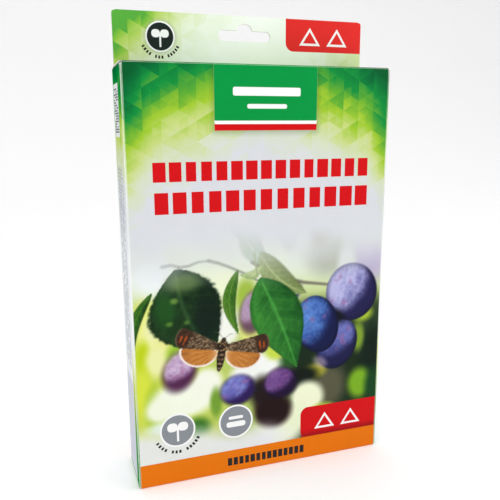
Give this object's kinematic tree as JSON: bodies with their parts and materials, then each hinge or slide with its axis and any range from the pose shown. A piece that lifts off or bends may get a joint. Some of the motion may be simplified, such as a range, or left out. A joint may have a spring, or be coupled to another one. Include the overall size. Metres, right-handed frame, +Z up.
{
  "type": "pheromone insect trap",
  "caption": "Retail carton with hang header and opening flaps, holding flat-folded delta insect traps, sticky inserts, lure sachets, wire hangers and a leaflet.",
  "frame": {"origin": "middle of the carton's base, on the surface it stands on", "axes": "+Z up, +X right seen from the front, front panel faces -Y, hang header at +Y"},
  "size_m": [0.154, 0.036, 0.268],
  "materials": {
    "carton_board": "coated carton board, printed outside, uncoated inside",
    "printed_front": "satin coated print: orchard picture, green top, orange foot band",
    "printed_side": "satin coated print, green fading to white",
    "printed_header": "satin coated print, pale green mosaic",
    "trap_plastic": "white twin-wall polypropylene sheet, matt",
    "sticky_card": "coated paper card",
    "glue_coat": "clear wet insect glue, glossy",
    "release_paper": "waxed release paper",
    "leaflet_paper": "thin folded leaflet paper",
    "foil": "laminated aluminium foil, satin",
    "lure_rubber": "red-brown rubber septum",
    "galvanised_wire": "galvanised steel wire"
  },
  "bodies": {
    "carton": {"back_panel": "carton_board", "base_dust_flap_left": "carton_board", "base_dust_flap_right": "carton_board", "base_inner_flap": "carton_board", "base_outer_flap": "carton_board", "front_panel": "printed_front", "glue_flap": "carton_board", "header_back_ply": "printed_header", "header_front_ply": "printed_header", "left_panel": "printed_side", "right_panel": "printed_side"},
    "lid": {"lid": "carton_board"},
    "tuck_flap": {"tuck_flap": "carton_board"},
    "dust_flap_left": {"dust_flap_left": "carton_board"},
    "dust_flap_right": {"dust_flap_right": "carton_board"},
    "leaflet": {"leaflet": "leaflet_paper"},
    "trap_1": {"trap_1_closing_tab": "trap_plastic", "trap_1_floor": "trap_plastic", "trap_1_floor_web": "trap_plastic", "trap_1_ridge_web": "trap_plastic", "trap_1_roof_left": "trap_plastic", "trap_1_roof_right": "trap_plastic"},
    "insert_1": {"insert_1_card": "sticky_card", "insert_1_glue": "glue_coat", "insert_1_liner": "release_paper"},
    "sachet_1": {"lure_sachet_1": "foil", "lure_septum_1": "lure_rubber"},
    "hanger_1": {"wire_hanger_1": "galvanised_wire"},
    "trap_2": {"trap_2_closing_tab": "trap_plastic", "trap_2_floor": "trap_plastic", "trap_2_floor_web": "trap_plastic", "trap_2_ridge_web": "trap_plastic", "trap_2_roof_left": "trap_plastic", "trap_2_roof_right": "trap_plastic"},
    "insert_2": {"insert_2_card": "sticky_card", "insert_2_glue": "glue_coat", "insert_2_liner": "release_paper"},
    "sachet_2": {"lure_sachet_2": "foil", "lure_septum_2": "lure_rubber"},
    "hanger_2": {"wire_hanger_2": "galvanised_wire"}
  },
  "joints": [
    {"name": "trap_1_lift", "type": "slide", "parent": "carton", "child": "trap_1", "axis": [0, 0, 1], "range_m": [0, 0.061]},
    {"name": "lid_open", "type": "hinge", "parent": "carton", "child": "lid", "pos_m": [0, -0.0168, 0.238], "axis": [1, 0, 0], "range_deg": [0, 175]},
    {"name": "tuck_fold", "type": "hinge", "parent": "lid", "child": "tuck_flap", "pos_m": [0, 0.0158, 0.2368], "axis": [1, 0, 0], "range_deg": [0, 17.6]},
    {"name": "dust_left_open", "type": "hinge", "parent": "carton", "child": "dust_flap_left", "pos_m": [-0.0758, 0, 0.2372], "axis": [0, -1, 0], "range_deg": [0, 140.5]},
    {"name": "dust_right_open", "type": "hinge", "parent": "carton", "child": "dust_flap_right", "pos_m": [0.0758, 0, 0.2372], "axis": [0, 1, 0], "range_deg": [0, 140.5]},
    {"name": "trap_2_lift", "type": "slide", "parent": "carton", "child": "trap_2", "axis": [0, 0, 1], "range_m": [0, 0.0615]},
    {"name": "leaflet_lift", "type": "slide", "parent": "carton", "child": "leaflet", "axis": [0, 0, 1], "range_m": [0, 0.0676]},
    {"name": "sachet_1_lift", "type": "slide", "parent": "carton", "child": "sachet_1", "axis": [0, 0, 1], "range_m": [0, 0.1835]},
    {"name": "sachet_2_lift", "type": "slide", "parent": "carton", "child": "sachet_2", "axis": [0, 0, 1], "range_m": [0, 0.1835]},
    {"name": "hanger_1_lift", "type": "slide", "parent": "carton", "child": "hanger_1", "axis": [0, 0, 1], "range_m": [0, 0.092]},
    {"name": "hanger_2_lift", "type": "slide", "parent": "carton", "child": "hanger_2", "axis": [0, 0, 1], "range_m": [0, 0.092]},
    {"name": "insert_1_slide", "type": "slide", "parent": "trap_1", "child": "insert_1", "axis": [0, 0, 1], "range_m": [0, 0.0158]},
    {"name": "insert_2_slide", "type": "slide", "parent": "trap_2", "child": "insert_2", "axis": [0, 0, 1], "range_m": [0, 0.0158]}
  ],
  "couplings": [
    {"joint": "lid_open", "follows": "trap_1_lift", "rad_per_m": 50},
    {"joint": "tuck_fold", "follows": "trap_1_lift", "rad_per_m": 5},
    {"joint": "dust_left_open", "follows": "trap_1_lift", "rad_per_m": 40},
    {"joint": "dust_right_open", "follows": "trap_1_lift", "rad_per_m": 40},
    {"joint": "trap_2_lift", "follows": "trap_1_lift", "ratio": 1},
    {"joint": "leaflet_lift", "follows": "trap_1_lift", "ratio": 1.1},
    {"joint": "sachet_1_lift", "follows": "trap_1_lift", "ratio": 3},
    {"joint": "sachet_2_lift", "follows": "trap_1_lift", "ratio": 3},
    {"joint": "hanger_1_lift", "follows": "trap_1_lift", "ratio": 1.5},
    {"joint": "hanger_2_lift", "follows": "trap_1_lift", "ratio": 1.5},
    {"joint": "insert_1_slide", "follows": "trap_1_lift", "ratio": 0.25},
    {"joint": "insert_2_slide", "follows": "trap_1_lift", "ratio": 0.25}
  ]
}
